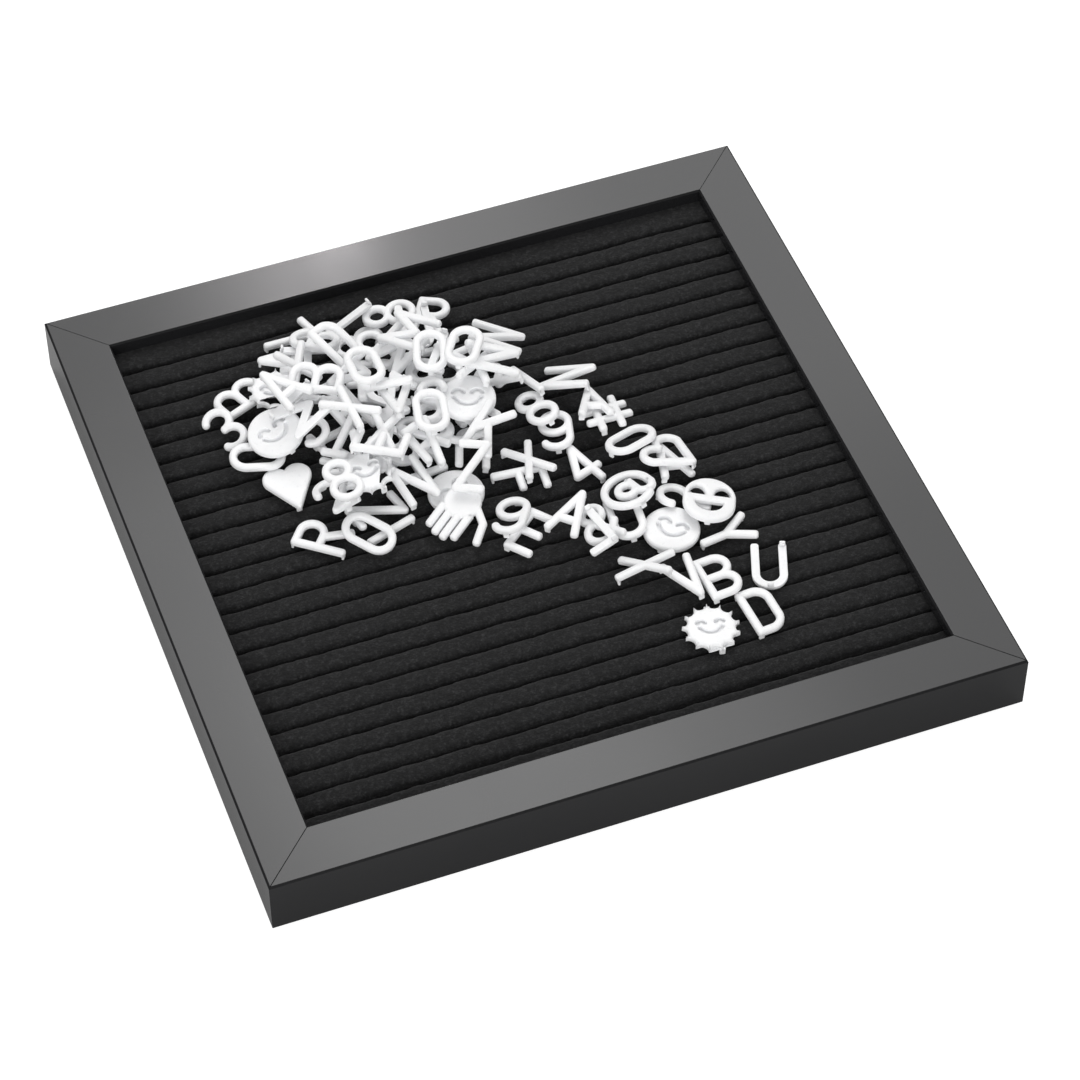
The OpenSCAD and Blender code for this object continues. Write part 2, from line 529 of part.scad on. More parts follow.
module loose(name) {
    color(white) for (piece = SETTLED) if (piece[0] == name) {
        lean = piece[7];
        translate([piece[2], piece[3], piece[6]])
            rotate(a = atan(norm(lean)), v = norm(lean) > 0 ? [lean.y, -lean.x, 0] : [1, 0, 0])
                rotate(piece[4]) {
                    if (piece[5] == true) translate([0, 0, char_t]) rotate([0, 180, 0]) character(piece[1]);
                    else character(piece[1]);
                }
    }
}

rear_rail();
front_rail();
left_rail();
right_rail();
corner_v_nails();
groove_slats();
slat_backing();
felt_face();
back_panel();
retaining_tabs();
sawtooth_hanger();
hanger_nails();
wall_bumpers();
for (item = LOOSE) loose(item[0]);
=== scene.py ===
import bpy
import bmesh
import json
import math
from mathutils import Matrix, Vector, geometry, noise


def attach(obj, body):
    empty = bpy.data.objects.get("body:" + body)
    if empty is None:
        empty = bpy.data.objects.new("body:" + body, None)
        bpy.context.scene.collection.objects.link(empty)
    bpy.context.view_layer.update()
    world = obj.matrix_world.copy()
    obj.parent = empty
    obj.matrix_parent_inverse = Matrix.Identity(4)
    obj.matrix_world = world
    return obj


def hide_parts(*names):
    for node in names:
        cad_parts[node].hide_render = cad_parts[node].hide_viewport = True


print("letter board: loading the packed frame")
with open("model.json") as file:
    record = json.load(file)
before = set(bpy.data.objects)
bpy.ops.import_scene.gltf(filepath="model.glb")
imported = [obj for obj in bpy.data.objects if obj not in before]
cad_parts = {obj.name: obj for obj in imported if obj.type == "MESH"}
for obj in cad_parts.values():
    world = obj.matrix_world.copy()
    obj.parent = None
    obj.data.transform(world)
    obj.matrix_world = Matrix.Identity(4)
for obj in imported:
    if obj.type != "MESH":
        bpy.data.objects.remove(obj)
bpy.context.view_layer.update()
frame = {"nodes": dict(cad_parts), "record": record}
nodes = frame["nodes"]
bodyOf = {name: body for body, names in frame["record"]["behaviour"]["bodies"].items() for name in names}
scene = bpy.context.scene
mm = 0.001
white = (1, 1, 1)

cameraLook = {
    "lookAt": (-0.0013, -0.0250, 0.0225),
    "azimuth": -20.26,     # degrees, 0 looks along +Y
    "elevation": 49.41,
    "distance": 1.2464,
    "roll": -0.14,
    "lens": 126.90,        # mm
    "sensor": 36,          # mm
    "near": 0.05,
}


def placeCamera(look):
    camera = bpy.data.objects.new("camera", bpy.data.cameras.new("camera"))
    scene.collection.objects.link(camera)
    camera.data.lens = look["lens"]
    camera.data.sensor_width = look["sensor"]
    camera.data.clip_start = look["near"]
    turn = (Matrix.Rotation(math.radians(look["azimuth"]), 4, "Z")
            @ Matrix.Rotation(math.radians(90 - look["elevation"]), 4, "X")
            @ Matrix.Rotation(math.radians(look["roll"]), 4, "Z"))
    camera.matrix_world = Matrix.Translation(look["lookAt"]) @ turn @ Matrix.Translation((0, 0, look["distance"]))
    scene.camera = camera


# name: (place, aimed at, width, height, watts, colour)
# each lamp hangs at a height of its own, because a glossy rail shows only one of two at the same height
lampLook = {
    "overhead": ((0.30, 0.85, 1.04), (0.30, 0.85, 0), 1.1, 1.1, 5.3, white),
    "rear": ((0.43, 1.06, 1.02), (0.43, 1.06, 0), 0.60, 0.54, 0.68, white),
    "softbox": ((0.20, 0.66, 1.0), (0.20, 0.66, 0), 0.42, 0.50, 0.92, (1.0, 0.998, 0.995)),
    "halo": ((0.27, 1.07, 0.99), (0.27, 1.07, 0), 0.28, 0.22, 0.25, (1.0, 0.98, 0.99)),
    "middle": ((0.18, 0.57, 0.98), (0.18, 0.57, 0), 0.24, 0.32, 0.29, white),
    "glint": ((0.225, 1.05, 0.97), (0, 0.1, 0), 0.065, 0.08, 0.27, (1.0, 0.95, 0.97)),
    "fill": ((-0.60, -1.2, 0.5), (0, 0, 0.02), 1.0, 0.7, 9.0, white),
}


def hangLamps(look):
    for name, (place, aim, width, height, watts, colour) in look.items():
        lamp = bpy.data.lights.new(name, "AREA")
        lamp.shape = "RECTANGLE"
        lamp.size, lamp.size_y = width, height
        lamp.energy = watts
        lamp.color = colour
        piece = bpy.data.objects.new(name, lamp)
        piece.location = place
        piece.rotation_euler = (Vector(aim) - Vector(place)).to_track_quat("-Z", "Y").to_euler()
        scene.collection.objects.link(piece)


def addMath(tree, operation, first, second):
    step = tree.nodes.new("ShaderNodeMath")
    step.operation = operation
    tree.links.new(first, step.inputs[0])
    if isinstance(second, float):
        step.inputs[1].default_value = second
    else:
        tree.links.new(second, step.inputs[1])
    return step.outputs[0]


# 1 where the camera looks straight at a thing, and the share mirrored where it sees it in a gloss
def seenRays(tree, mirrored=1.0):
    path = tree.nodes.new("ShaderNodeLightPath")
    both = addMath(tree, "MAXIMUM", path.outputs["Is Glossy Ray"], path.outputs["Is Transmission Ray"])
    return addMath(tree, "MAXIMUM", path.outputs["Is Camera Ray"], addMath(tree, "MULTIPLY", both, mirrored))


skyLook = {"light": 0.61, "backdrop": 1.0}


def makeSky(look):
    world = bpy.data.worlds.new("studio")
    scene.world = world
    world.use_nodes = True
    tree = world.node_tree
    tree.nodes.clear()
    mix = tree.nodes.new("ShaderNodeMixShader")
    tree.links.new(seenRays(tree), mix.inputs[0])
    for socket, strength in ((1, look["light"]), (2, look["backdrop"])):
        glow = tree.nodes.new("ShaderNodeBackground")
        glow.inputs["Color"].default_value = (*white, 1)
        glow.inputs["Strength"].default_value = strength
        tree.links.new(glow.outputs[0], mix.inputs[socket])
    out = tree.nodes.new("ShaderNodeOutputWorld")
    tree.links.new(mix.outputs[0], out.inputs["Surface"])


floorLook = {
    "size": 3.0,
    "colour": (0.40, 0.40, 0.40, 1),
    "lift": 0.86,          # what brings the paper to white in the picture
    "mirrored": 0.05,      # share of it that a gloss shows
    "z": -0.3 * mm,
}


def layFloor(look):
    mesh = bpy.data.meshes.new("studio_floor")
    s = look["size"]
    mesh.from_pydata([(x, y, look["z"]) for x, y in ((-s, -s), (s, -s), (s, s), (-s, s))], [], [(0, 1, 2, 3)])
    floor = bpy.data.objects.new("studio_floor", mesh)
    scene.collection.objects.link(floor)
    paper = bpy.data.materials.new("backdrop paper")
    paper.use_nodes = True
    tree = paper.node_tree
    tree.nodes.clear()
    matt = tree.nodes.new("ShaderNodeBsdfDiffuse")
    matt.inputs["Color"].default_value = look["colour"]
    glow = tree.nodes.new("ShaderNodeEmission")
    level = addMath(tree, "MULTIPLY", seenRays(tree, look["mirrored"]), look["lift"])
    tree.links.new(level, glow.inputs["Strength"])
    both = tree.nodes.new("ShaderNodeAddShader")
    tree.links.new(matt.outputs[0], both.inputs[0])
    tree.links.new(glow.outputs[0], both.inputs[1])
    out = tree.nodes.new("ShaderNodeOutputMaterial")
    tree.links.new(both.outputs[0], out.inputs["Surface"])
    mesh.materials.append(paper)


placeCamera(cameraLook)
hangLamps(lampLook)
makeSky(skyLook)
layFloor(floorLook)
scene.view_settings.view_transform = "Standard"
print("letter board: camera, lamps and floor are set")


def startFinish(name, colour, roughness):
    finish = bpy.data.materials.new(name)
    finish.use_nodes = True
    shader = finish.node_tree.nodes["Principled BSDF"]
    shader.inputs["Base Color"].default_value = (*colour, 1)
    shader.inputs["Roughness"].default_value = roughness
    finish.diffuse_color = (*colour, 1)
    return finish, finish.node_tree, shader


def addNoise(tree, perMetre, detail=3, rough=0.5, stretch=(1, 1, 1), turn=0):
    coords = tree.nodes.new("ShaderNodeTexCoord")
    place = tree.nodes.new("ShaderNodeMapping")
    place.inputs["Scale"].default_value = stretch
    place.inputs["Rotation"].default_value = (0, 0, turn)
    speckle = tree.nodes.new("ShaderNodeTexNoise")
    speckle.inputs["Scale"].default_value = perMetre
    speckle.inputs["Detail"].default_value = detail
    speckle.inputs["Roughness"].default_value = rough
    tree.links.new(coords.outputs["Object"], place.inputs["Vector"])
    tree.links.new(place.outputs["Vector"], speckle.inputs["Vector"])
    return speckle.outputs[0]


def addRamp(tree, source, stops):
    ramp = tree.nodes.new("ShaderNodeValToRGB")
    marks = ramp.color_ramp.elements
    for end in (0, -1):
        marks[end].position, marks[end].color = stops[end][0], (*stops[end][1], 1)
    for at, colour in stops[1:-1]:
        marks.new(at).color = (*colour, 1)
    tree.links.new(source, ramp.inputs[0])
    return ramp.outputs["Color"]


noiseRange = (0.3, 0.7)    # most of a noise lies between these


def addRoughness(tree, shader, source, span):
    reach = tree.nodes.new("ShaderNodeMapRange")
    reach.inputs["From Min"].default_value, reach.inputs["From Max"].default_value = noiseRange
    reach.inputs["To Min"].default_value, reach.inputs["To Max"].default_value = span
    tree.links.new(source, reach.inputs["Value"])
    tree.links.new(reach.outputs["Result"], shader.inputs["Roughness"])


def blendTones(tree, source, look, *names):
    return addRamp(tree, source, [(at, look[name]) for at, name in zip(look["spread"], names)])


def addTones(tree, shader, source, look, *names):
    tree.links.new(blendTones(tree, source, look, *names), shader.inputs["Base Color"])


def addBump(tree, shader, source, height, strength, under=None):
    bump = tree.nodes.new("ShaderNodeBump")
    bump.inputs["Strength"].default_value = strength
    bump.inputs["Distance"].default_value = height
    tree.links.new(source, bump.inputs["Height"])
    if under:
        tree.links.new(under, bump.inputs["Normal"])
    tree.links.new(bump.outputs["Normal"], shader.inputs["Normal"])
    return bump.outputs["Normal"]


# in every finish, spread says at which noise values its tones lie, and a bump is (height, strength)
railFinish = {
    "colour": (0.0125, 0.0125, 0.0135),
    "pale": (0.0150, 0.0150, 0.0158),
    "spread": (0.35, 0.7),
    "clouds": {"perMetre": 14},
    "worn": (0.045, 0.045, 0.046),
    "wear": ((0.62, (0, 0, 0)), (0.75, (0.6, 0.6, 0.6))),    # how much of it shows, by how sharp an edge is
    "roughness": (0.135, 0.175),
    "smears": {"perMetre": 22, "detail": 4},
    "index": 1.45,
    "grain": {"perMetre": 1700, "detail": 2},
    "bump": (0.004 * mm, 0.25),
}


def makeRailFinish(look):
    finish, tree, shader = startFinish("satin black moulding", look["colour"], look["roughness"][0])
    shader.inputs["IOR"].default_value = look["index"]
    tone = blendTones(tree, addNoise(tree, **look["clouds"]), look, "colour", "pale")
    edge = tree.nodes.new("ShaderNodeNewGeometry")
    wear = addRamp(tree, edge.outputs["Pointiness"], look["wear"])
    mix = tree.nodes.new("ShaderNodeMix")
    mix.data_type = "RGBA"
    mix.inputs["B"].default_value = (*look["worn"], 1)
    tree.links.new(wear, mix.inputs["Factor"])
    tree.links.new(tone, mix.inputs["A"])
    tree.links.new(mix.outputs["Result"], shader.inputs["Base Color"])
    addRoughness(tree, shader, addNoise(tree, **look["smears"]), look["roughness"])
    addBump(tree, shader, addNoise(tree, **look["grain"]), *look["bump"])
    return finish


# painted shade: a darker, duller finish for the rails' chamfers, so that they render as a dark line along the
# edges
chamferShadeFinish = {
    "colour": (0.006, 0.006, 0.0065),
    "pale": (0.011, 0.011, 0.0115),
    "spread": (0.4, 0.7),
    "roughness": (0.5, 0.62),
    "specular": 0.12,
    "flecks": {"perMetre": 900},
    "bump": (0.01 * mm, 0.3),
}


def makeChamferShadeFinish(look):
    finish, tree, shader = startFinish("black chamfer painted shade", look["colour"], look["roughness"][0])
    shader.inputs["Specular IOR Level"].default_value = look["specular"]
    flecks = addNoise(tree, **look["flecks"])
    addTones(tree, shader, flecks, look, "colour", "pale")
    addRoughness(tree, shader, flecks, look["roughness"])
    addBump(tree, shader, flecks, *look["bump"])
    return finish


feltFinish = {
    "deep": (0.0026, 0.0026, 0.0028),
    "colour": (0.0098, 0.0098, 0.0102),
    "pale": (0.038, 0.038, 0.039),
    "spread": (0.14, 0.26, 0.42),
    "roughness": 0.95,
    "specular": 0.15,
    "sheen": 0.10,
    "sheenRoughness": 0.55,
    "fuzz": {"perMetre": 1500, "detail": 4, "rough": 0.8, "stretch": (0.8, 1, 1)},
    "clumps": {"perMetre": 620, "detail": 5, "rough": 0.75, "stretch": (0.8, 1, 1)},
    "clumpBump": (0.26 * mm, 0.5),
    "fuzzBump": (0.26 * mm, 0.9),
}


def makeFeltFinish(look):
    finish, tree, shader = startFinish("black felt", look["colour"], look["roughness"])
    shader.inputs["Specular IOR Level"].default_value = look["specular"]
    shader.inputs["Sheen Weight"].default_value = look["sheen"]
    shader.inputs["Sheen Roughness"].default_value = look["sheenRoughness"]
    fuzz, clumps = addNoise(tree, **look["fuzz"]), addNoise(tree, **look["clumps"])
    addTones(tree, shader, addMath(tree, "MULTIPLY", fuzz, clumps), look, "deep", "colour", "pale")
    low = addBump(tree, shader, clumps, *look["clumpBump"])
    addBump(tree, shader, fuzz, *look["fuzzBump"], under=low)
    return finish


characterFinish = {
    "colour": (0.950, 0.956, 0.970),
    "shade": (0.918, 0.926, 0.945),
    "spread": (0.3, 0.6),
    "mottle": {"perMetre": 260},
    "roughness": (0.26, 0.36),
    "smears": {"perMetre": 900, "detail": 2},
    "glow": 0.7,           # share of light that goes in and comes out again
    "depth": 0.8 * mm,
    "grain": {"perMetre": 700},
    "bump": (0.012 * mm, 0.4),
}


def makeCharacterFinish(look):
    finish, tree, shader = startFinish("white moulded plastic", look["colour"], look["roughness"][0])
    shader.inputs["Subsurface Weight"].default_value = look["glow"]
    shader.inputs["Subsurface Radius"].default_value = (1, 1, 1)
    shader.inputs["Subsurface Scale"].default_value = look["depth"]
    addTones(tree, shader, addNoise(tree, **look["mottle"]), look, "shade", "colour")
    addRoughness(tree, shader, addNoise(tree, **look["smears"]), look["roughness"])
    addBump(tree, shader, addNoise(tree, **look["grain"]), *look["bump"])
    return finish


panelFinish = {
    "name": "hardboard",
    "colour": (0.20, 0.115, 0.06),
    "dark": (0.13, 0.07, 0.035),
    "pale": (0.33, 0.21, 0.12),
    "spread": (0.14, 0.26, 0.42),
    "roughness": (0.55, 0.8),
    "chips": {"perMetre": 700, "detail": 5, "rough": 0.7, "stretch": (0.35, 1, 1), "turn": 0.5},
    "strands": {"perMetre": 1500, "detail": 4, "rough": 0.7, "stretch": (1, 0.3, 1), "turn": 1.2},
    "bump": (0.08 * mm, 0.6),
}
slatFinish = {
    **panelFinish,
    "name": "wood fibre slats",
    "colour": (0.34, 0.22, 0.12),
    "dark": (0.25, 0.15, 0.08),
    "pale": (0.47, 0.33, 0.20),
    "bump": (0.06 * mm, 0.6),
}


def makeBoardFinish(look):
    finish, tree, shader = startFinish(look["name"], look["colour"], look["roughness"][0])
    chips, strands = addNoise(tree, **look["chips"]), addNoise(tree, **look["strands"])
    both = addMath(tree, "MULTIPLY", chips, strands)
    addTones(tree, shader, both, look, "dark", "colour", "pale")
    addRoughness(tree, shader, chips, look["roughness"])
    addBump(tree, shader, both, *look["bump"])
    return finish


steelFinish = {
    "colour": (0.55, 0.55, 0.56),
    "dull": (0.38, 0.38, 0.39),
    "spread": (0.35, 0.6),
    "roughness": (0.24, 0.42),
    "spangle": {"perMetre": 900, "detail": 4},
    "brushed": {"perMetre": 2200, "stretch": (0.08, 1, 1)},
    "bump": (0.01 * mm, 0.5),
}


def makeSteelFinish(look):
    finish, tree, shader = startFinish("zinc plated steel", look["colour"], look["roughness"][0])
    shader.inputs["Metallic"].default_value = 1.0
    brushed = addNoise(tree, **look["brushed"])
    addTones(tree, shader, addNoise(tree, **look["spangle"]), look, "dull", "colour")
    addRoughness(tree, shader, brushed, look["roughness"])
    addBump(tree, shader, brushed, *look["bump"])
    return finish


rubberFinish = {
    "colour": (0.022, 0.022, 0.023),
    "dusty": (0.05, 0.05, 0.05),
    "spread": (0.45, 0.75),
    "roughness": (0.6, 0.85),
    "dust": {"perMetre": 1200, "detail": 4, "rough": 0.7},
    "bump": (0.05 * mm, 0.4),
}


def makeRubberFinish(look):
    finish, tree, shader = startFinish("dark rubber", look["colour"], look["roughness"][0])
    dust = addNoise(tree, **look["dust"])
    addTones(tree, shader, dust, look, "colour", "dusty")
    addRoughness(tree, shader, dust, look["roughness"])
    addBump(tree, shader, dust, *look["bump"])
    return finish


satinBlack = makeRailFinish(railFinish)
chamferShade = makeChamferShadeFinish(chamferShadeFinish)
blackFelt = makeFeltFinish(feltFinish)
whitePlastic = makeCharacterFinish(characterFinish)
hardboard = makeBoardFinish(panelFinish)
woodFibre = makeBoardFinish(slatFinish)
zincSteel = makeSteelFinish(steelFinish)
darkRubber = makeRubberFinish(rubberFinish)
weldGap = 0.0002 * mm      # corners of the solids that are this close are one


def copyOf(name):
    bm = bmesh.new()
    bm.from_mesh(nodes[name].data)
    bmesh.ops.remove_doubles(bm, verts=bm.verts, dist=weldGap)
    return bm


def putInPlace(bm, piece, name, finish, slot):
    mesh = bpy.data.meshes.new(piece)
    bm.to_mesh(mesh)
    bm.free()
    shape = bpy.data.objects.new(piece, mesh)
    scene.collection.objects.link(shape)
    mesh.materials.append(finish)
    for face in mesh.polygons:
        face.material_index = 0
        face.use_smooth = True
    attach(shape, bodyOf[name])
    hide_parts(name)
    return shape


def keepFlatsFlat(shape, degrees):
    shape.data.set_sharp_from_angle(angle=math.radians(degrees))
    weigh = shape.modifiers.new("flats", "WEIGHTED_NORMAL")
    weigh.keep_sharp = True
    weigh.weight = 80      # large faces decide


edgeLook = {
    # piece: (finish, slot, edge radius in mm, steps)
    "rear_rail": (satinBlack, "frame", 0.12, 2),
    "front_rail": (satinBlack, "frame", 0.12, 2),
    "left_rail": (satinBlack, "frame", 0.12, 2),
    "right_rail": (satinBlack, "frame", 0.12, 2),
    "back_panel": (hardboard, "hardboard", 0.3, 2),
    "slat_backing": (woodFibre, "slats", 0.3, 2),
    "groove_slats": (woodFibre, "slats", 0.4, 2),
    "retaining_tabs": (zincSteel, "steel", 0.12, 2),
    "sawtooth_hanger": (zincSteel, "steel", 0.12, 2),
    "hanger_nails": (zincSteel, "steel", 0.12, 2),
    "corner_v_nails": (zincSteel, "steel", 0.1, 1),
    "wall_bumpers": (darkRubber, "bumper", 0.45, 3),
}
edgeAngles = {"flat": 0.5, "sharp": 28, "smooth": 35}    # degrees
chamferLean = (0.3, 0.93)  # a chamfer's normal has this much of +Z


# upright, and at 45 degrees to the rails
def isMitre(face):
    return abs(face.normal.z) < 0.01 and abs(abs(face.normal.x) - abs(face.normal.y)) < 0.02


def isEased(edge):
    faces = edge.link_faces
    if len(faces) != 2 or edge.calc_face_angle(0) <= math.radians(edgeAngles["sharp"]):
        return False
    if any(isMitre(face) for face in faces):    # a mitre is eased along its top only, where its seam shows
        return any(face.normal.z > 0.99 for face in faces)
    return True


def easeEdges(name, finish, slot, radius, steps):
    bm = copyOf(name)
    bmesh.ops.dissolve_limit(bm, angle_limit=math.radians(edgeAngles["flat"]), verts=bm.verts, edges=bm.edges)
    sharp = [edge for edge in bm.edges if isEased(edge)]
    bmesh.ops.bevel(bm, geom=sharp, offset=radius * mm, segments=steps, profile=0.5, affect="EDGES",
                    clamp_overlap=True, loop_slide=True)
    shape = putInPlace(bm, name + "_finished", name, finish, slot)
    if slot == "frame":    # the chamfers get a darker, duller finish than the satin top: painted shade, for the dark line along the rails' edges
        shape.data.materials.append(chamferShade)
        for face in shape.data.polygons:
            if chamferLean[0] < face.normal.z < chamferLean[1]:
                face.material_index = 1
    keepFlatsFlat(shape, edgeAngles["smooth"])


for name, look in edgeLook.items():
    easeEdges(name, *look)
print("letter board: rails, panel and hardware are dressed")

feltLook = {
    "top": 17.5,           # mm above the table
    "panel": 114.1,        # mm from the middle to the panel's edge
    "pitch": 8.7,
    "shift": -1.0,
    "grooves": 24,
    # how far the nap lies below the top, at each distance from a groove's middle
    "section": ((0, 4.0), (0.46, 3.6), (0.53, 2.3), (0.6, 1.5), (0.74, 0.95), (0.96, 0.56), (1.3, 0.26),
                (1.8, 0.08), (3.0, 0)),
    "margin": 4,           # lines between the outer grooves and the panel's edge
    "columns": 235,
    "wander": 0.30,        # mm that a groove strays from its line
    # share of it, over how many mm, and seeds: per groove, for all, and for the far bank
    "strays": ((1.0, 14.0, 7.3, 0.4, 0), (0.9, 4.1, 5.1, 2.4, 0.9), (0.75, 1.7, 3.1, 5.4, 0.9)),
    "still": 3,            # mm at the panel's edge where a groove strays less
    "swell": (0.14, 9, 5, 7.7),        # mm that a rib rises and falls, over how many mm each way, and a seed
    "fuzz": (0.09, 1.3, 0.9, 3.1),
    "sink": 0.07,          # mm
    "highest": 0.03,       # mm
    "bank": (0.10, 11, 3.7, 5.2),      # share that a bank's depth varies by, over how many mm, and seeds
    "bankDepth": 2,        # mm, deeper than this is the groove itself
}


def feltLines(look):
    lines = []
    reach, last = look["panel"], look["grooves"] - 1
    for k in range(look["grooves"]):
        middle = look["shift"] + (k - last / 2) * look["pitch"]
        for t, drop in look["section"][:0:-1]:
            lines.append((middle - t, drop, k, -1))
        lines.append((middle, look["section"][0][1], k, 1))
        for t, drop in look["section"][1:]:
            lines.append((middle + t, drop, k, 1))
    near, far, count = lines[0][0], lines[-1][0], look["margin"]
    before = [(-reach + i * (near + reach) / count, 0, 0, 0) for i in range(count)]
    after = [(far + (i + 1) * (reach - far) / count, 0, last, 0) for i in range(count)]
    return before + lines + after


def waves(x, y, size, alongX, alongY, seed):
    return size * noise.noise(Vector((x / alongX, y / alongY, seed)))


def strayAt(x, k, side, look):
    far = 1 if side > 0 else 0
    return sum(share * look["wander"] * noise.noise(Vector((x / length, k * perGroove, seed + far * farSeed)))
               for share, length, perGroove, seed, farSeed in look["strays"])


def pressFelt(look):
    reach, columns = look["panel"], look["columns"]
    share, length, perGroove, seed = look["bank"]
    bm = bmesh.new()
    grid = []
    for y, drop, k, side in feltLines(look):
        row = []
        for i in range(columns + 1):
            x = -reach + 2 * reach * i / columns
            loose = min(1, (reach - abs(y)) / look["still"])
            rise = waves(x, y, *look["swell"]) - look["sink"] + waves(x, y, *look["fuzz"])
            depth = drop
            if drop < look["bankDepth"]:
                depth = drop * (1 + share * noise.noise(Vector((x / length, k * perGroove, seed))))
            z = min(look["top"], look["top"] + min(rise, look["highest"]) - depth)
            row.append(bm.verts.new((x * mm, (y + strayAt(x, k, side, look) * loose * abs(side)) * mm, z * mm)))
        grid.append(row)
    for a, b in zip(grid, grid[1:]):
        for i in range(columns):
            bm.faces.new((a[i], a[i + 1], b[i + 1], b[i]))
    felt = putInPlace(bm, "felt_nap", "felt_face", blackFelt, "felt")


pressFelt(feltLook)
print("letter board: felt is pressed in")

characterLook = {
    "thick": 2.0,          # mm, from the back to the front
    "round": 1.0,          # mm, rounding along the strokes
    "corner": 1.0,         # mm, rounding of a stroke's end, seen from the front
    "steps": 4,
    "foot": 0.2,           # mm, rounding at the back
    "featureRound": 0.3,   # mm, rim of a sunk feature
    "featureWell": 0.6,    # share of that at the feature's floor
    "featureSink": 0.5,    # mm that the floor of a sunk feature lies deeper than drawn
    "pegCorner": 0.35,     # mm
    "pegTop": 0.1,         # mm
    "pegTip": 0.3,         # mm
    "pegRoot": 1.0,        # mm that a peg reaches into the character
    "smooth": 40,          # degrees
}
measure = {
    "level": 0.9995,       # faces whose normals agree this well look the same way
    "same": 0.05 * mm,     # and lie at one height when they are this close
    "smallest": 1e-9,      # square metres of a face that can be a front
    "short": 0.02 * mm,    # a shorter side of an outline is left out
    "straight": 0.4,       # degrees, and so is a corner that turns less
    "corner": 40,          # degrees, a corner that turns more is rounded
    "cornerSteps": 4,
    "through": 0.1,        # mm, an edge that is this much short of the whole thickness still goes through
    "leastLean": 0.62,     # keeps a sharp corner's point from moving far in
    "start": 0.03,         # mm from a wall where the search for the wall opposite starts
    "search": 2.6,         # times the rounding
    "room": 0.42,          # share of the width found that the rounding may take
    "smoothings": 3,
}


# here and below, corners and faces are taken in their own order, so that each run gives the same meshes
def solidsOf(bm):
    left = set(bm.verts)
    for seed in bm.verts:
        if seed in left:
            left.discard(seed)
            found = [seed]
            for vert in found:    # grows while it is read
                for edge in vert.link_edges:
                    other = edge.other_vert(vert)
                    if other in left:
                        left.discard(other)
                        found.append(other)
            yield found


def levelFaces(faces, way, reach):
    return [face for face in faces if face.normal.dot(way) > measure["level"]
            and abs(face.calc_center_median().dot(way) - reach) < measure["same"]]


# the way that a character looks: that of the largest flat with nothing above it
def frontOf(verts, faces):
    ways = []
    for face in sorted(faces, key=lambda f: -f.calc_area()):
        if face.calc_area() < measure["smallest"]:
            break
        if all(face.normal.dot(way) < measure["level"] for way in ways):
            ways.append(face.normal.copy())
    best, size = None, 0
    for way in ways:
        reach = max(vert.co.dot(way) for vert in verts)
        area = sum(face.calc_area() for face in levelFaces(faces, way, reach))
        if area > size:
            best, size = way, area
    return best


def loopsOf(region):
    nextOf, inside = {}, set(region)
    for face in region:
        for corner in face.loops:
            if not any(other in inside for other in corner.edge.link_faces if other is not face):
                nextOf.setdefault(corner.vert, []).append(corner.link_loop_next.vert)
    loops = []
    while nextOf:
        loop, at = [], next(iter(nextOf))
        while at in nextOf:
            loop.append(at)
            ahead = nextOf[at].pop()
            if not nextOf[at]:
                del nextOf[at]
            at = ahead
        loops.append(loop)
    return loops


def flatten(loop, middle, right, up):
    points = [Vector(((v.co - middle).dot(right), (v.co - middle).dot(up))) for v in loop]
    points = [p for i, p in enumerate(points) if (p - points[i - 1]).length > measure["short"]]
    kept = []
    for i, p in enumerate(points):
        before, after = p - points[i - 1], points[(i + 1) % len(points)] - p
        if abs(before.angle_signed(after)) > math.radians(measure["straight"]):
            kept.append(p)
    return kept


def roundCorners(points, radius):
    done = []
    count, steps = len(points), measure["cornerSteps"]
    for i, p in enumerate(points):
        before, after = points[i - 1] - p, points[(i + 1) % count] - p
        turn = -(-before).angle_signed(after)      # left is positive
        if turn < math.radians(measure["corner"]):
            done.append(p)
            continue
        back = radius * math.tan(turn / 2)
        back = min(back, 0.49 * before.length, 0.49 * after.length)    # less than half a side
        r = back / math.tan(turn / 2)
        start = p + before.normalized() * back
        middle = start + Vector((before.y, -before.x)).normalized() * r
        for k in range(steps + 1):
            spoke = start - middle
            done.append(middle + Matrix.Rotation(turn * k / steps, 2) @ spoke)
    return done


def inwards(points):
    ways = []
    count = len(points)
    for i, p in enumerate(points):
        before, after = (p - points[i - 1]).normalized(), (points[(i + 1) % count] - p).normalized()
        way = Vector((-before.y - after.y, before.x + after.x))
        way.normalize()
        lean = max(measure["leastLean"], way.dot(Vector((-before.y, before.x))))
        ways.append(way / lean)
    return ways


# how much of the rounding each point of an outline has room for, so that a thin stroke's sides don't cross
def roomFor(points, ways, loops, most):
    walls = [(loop[i - 1], p) for loop in loops for i, p in enumerate(loop)]
    room = []
    for p, way in zip(points, ways):
        near, far = p + way * measure["start"] * mm, p + way * measure["search"] * most
        nearest = measure["search"] * most
        for a, b in walls:
            hit = geometry.intersect_line_line_2d(near, far, a, b)
            if hit:
                nearest = min(nearest, (hit - p).length / way.length)
        room.append(min(1, measure["room"] * nearest / most))
    for turn in range(measure["smoothings"]):
        room = [min(r, (room[i - 1] + 2 * r + room[(i + 1) % len(room)]) / 4) for i, r in enumerate(room)]
    return room


def addWalls(bm, place, points, loops, profile):
    ways = inwards(points)
    most = max(abs(inset) for inset, z in profile)
    room = roomFor(points, ways, loops, most)
    rings = [[bm.verts.new(place(p + way * inset * r, z)) for p, way, r in zip(points, ways, room)]
             for inset, z in profile]
    for low, high in zip(rings, rings[1:]):
        for i in range(len(low)):
            bm.faces.new((low[i - 1], low[i], high[i], high[i - 1]))
    return rings[0], rings[-1]


def addCap(bm, rings, way):
    corners = [vert for ring in rings for vert in ring]
    # in mm, because close corners are taken for one when they are given in metres
    for tri in geometry.tessellate_polygon([[vert.co / mm for vert in ring] for ring in rings]):
        if len(set(tri)) == 3:
            face = bm.faces.new([corners[i] for i in tri])
            face.normal_update()
            if face.normal.dot(way) < 0:
                face.normal_flip()


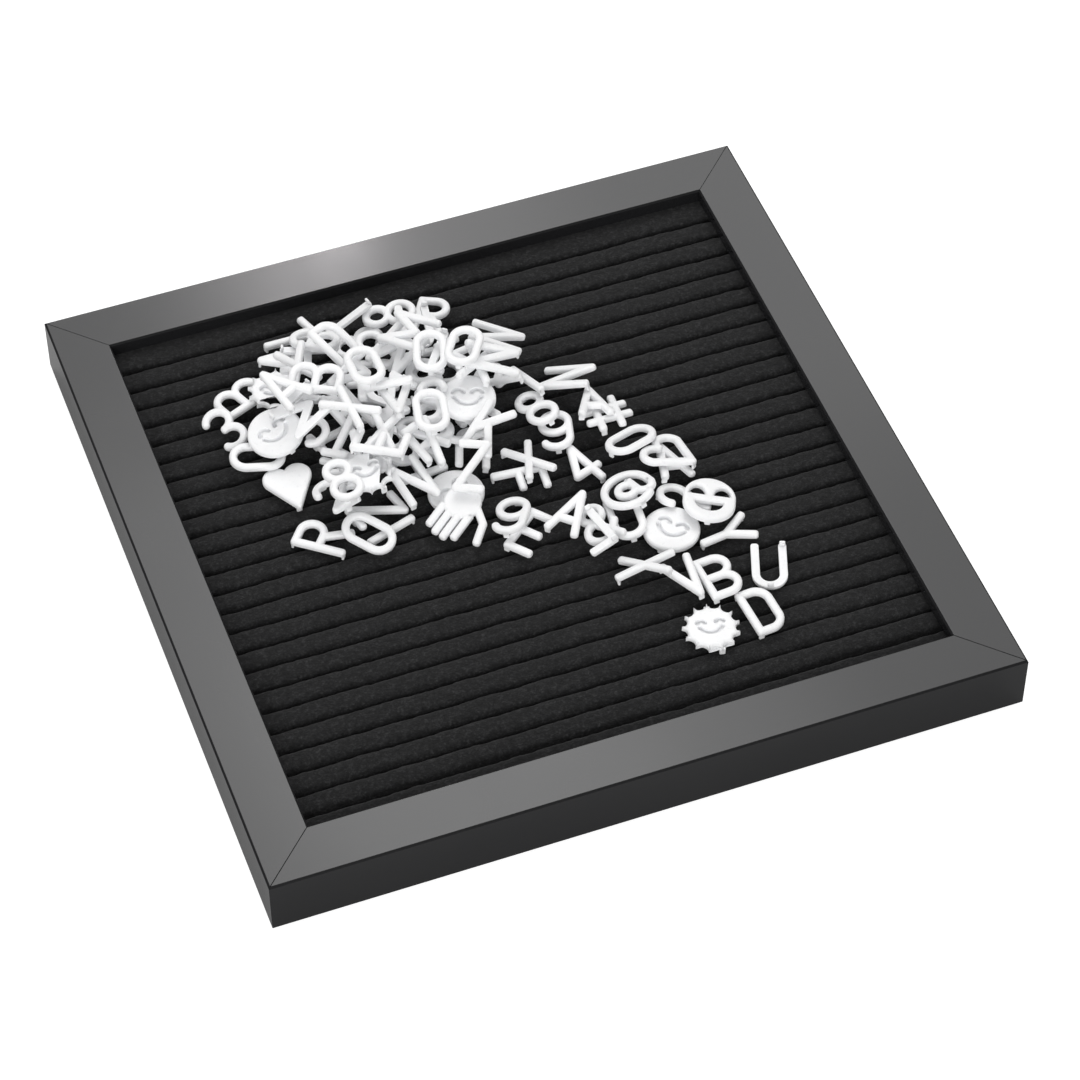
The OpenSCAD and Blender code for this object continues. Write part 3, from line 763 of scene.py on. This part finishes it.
def quarter(steps):
    return [math.radians(90 * k / steps) for k in range(steps + 1)]


def addForm(bm, place, way, outlines, sunk, low, high, look, topRound, footRound):
    foot = [(footRound * (1 - math.sin(t)) * mm, (low + footRound * (1 - math.cos(t))) * mm) for t in quarter(2)]
    top = [(topRound * (1 - math.cos(t)) * mm, (high - topRound * (1 - math.sin(t))) * mm)
           for t in quarter(look["steps"])]
    loops = outlines + [loop for loop, depth in sunk]
    lows, highs = [], []
    for points in outlines:
        under, over = addWalls(bm, place, points, loops, foot + top)
        lows.append(under)
        highs.append(over)
    for points, depth in sunk:
        r, share, floor = look["featureRound"], look["featureWell"], high - depth - look["featureSink"]
        rim = [(r * (1 - math.cos(t)) * mm, (high - r * (1 - math.sin(t))) * mm) for t in quarter(3)]
        well = [(-share * r * (1 - math.sin(t)) * mm, (floor + share * r * (1 - math.cos(t))) * mm)
                for t in quarter(2)]
        under, over = addWalls(bm, place, points, loops, well + rim)
        addCap(bm, [under], way)
        highs.append(over)
    addCap(bm, highs, way)
    addCap(bm, lows, -way)


def mouldSolid(bm, verts, out, look):
    faces = list(dict.fromkeys(face for vert in verts for face in vert.link_faces))
    way = frontOf(verts, faces)
    right = way.orthogonal().normalized()
    up = way.cross(right)
    reach = max(vert.co.dot(way) for vert in verts)
    loops = loopsOf(levelFaces(faces, way, reach))
    base = loops[0][0].co - way * look["thick"] * mm

    def place(p, z):
        return base + right * p.x + up * p.y + way * z

    outlines, sunk = [], []
    for loop in loops:
        tall = max(edge.calc_length() for vert in loop for edge in vert.link_edges
                   if abs((edge.verts[0].co - edge.verts[1].co).dot(way)) > 0.999 * edge.calc_length())
        points = flatten(loop, base, right, up)
        if tall > (look["thick"] - measure["through"]) * mm:
            outlines.append(roundCorners(points, look["corner"] * mm))
        else:
            sunk.append((points, tall / mm))
    addForm(out, place, way, outlines, sunk, 0, look["thick"], look, look["round"], look["foot"])
    tips = max(-vert.co.dot(way) for vert in verts)
    for loop in loopsOf(levelFaces(faces, -way, tips)):
        points = roundCorners(flatten(loop, base, right, up)[::-1], look["pegCorner"] * mm)
        low = (loop[0].co - base).dot(way) / mm
        addForm(out, place, way, [points], [], low, look["pegRoot"], look, look["pegTop"], look["pegTip"])


def mouldCharacter(name, look):
    bm = copyOf(name)
    out = bmesh.new()
    for verts in solidsOf(bm):
        mouldSolid(bm, verts, out, look)
    bm.free()
    out.normal_update()
    shape = putInPlace(out, name + "_moulded", name, whitePlastic, "characters")
    keepFlatsFlat(shape, look["smooth"])


for name, body in bodyOf.items():
    if body != "board":
        mouldCharacter(name, characterLook)
print("letter board: characters are rounded")
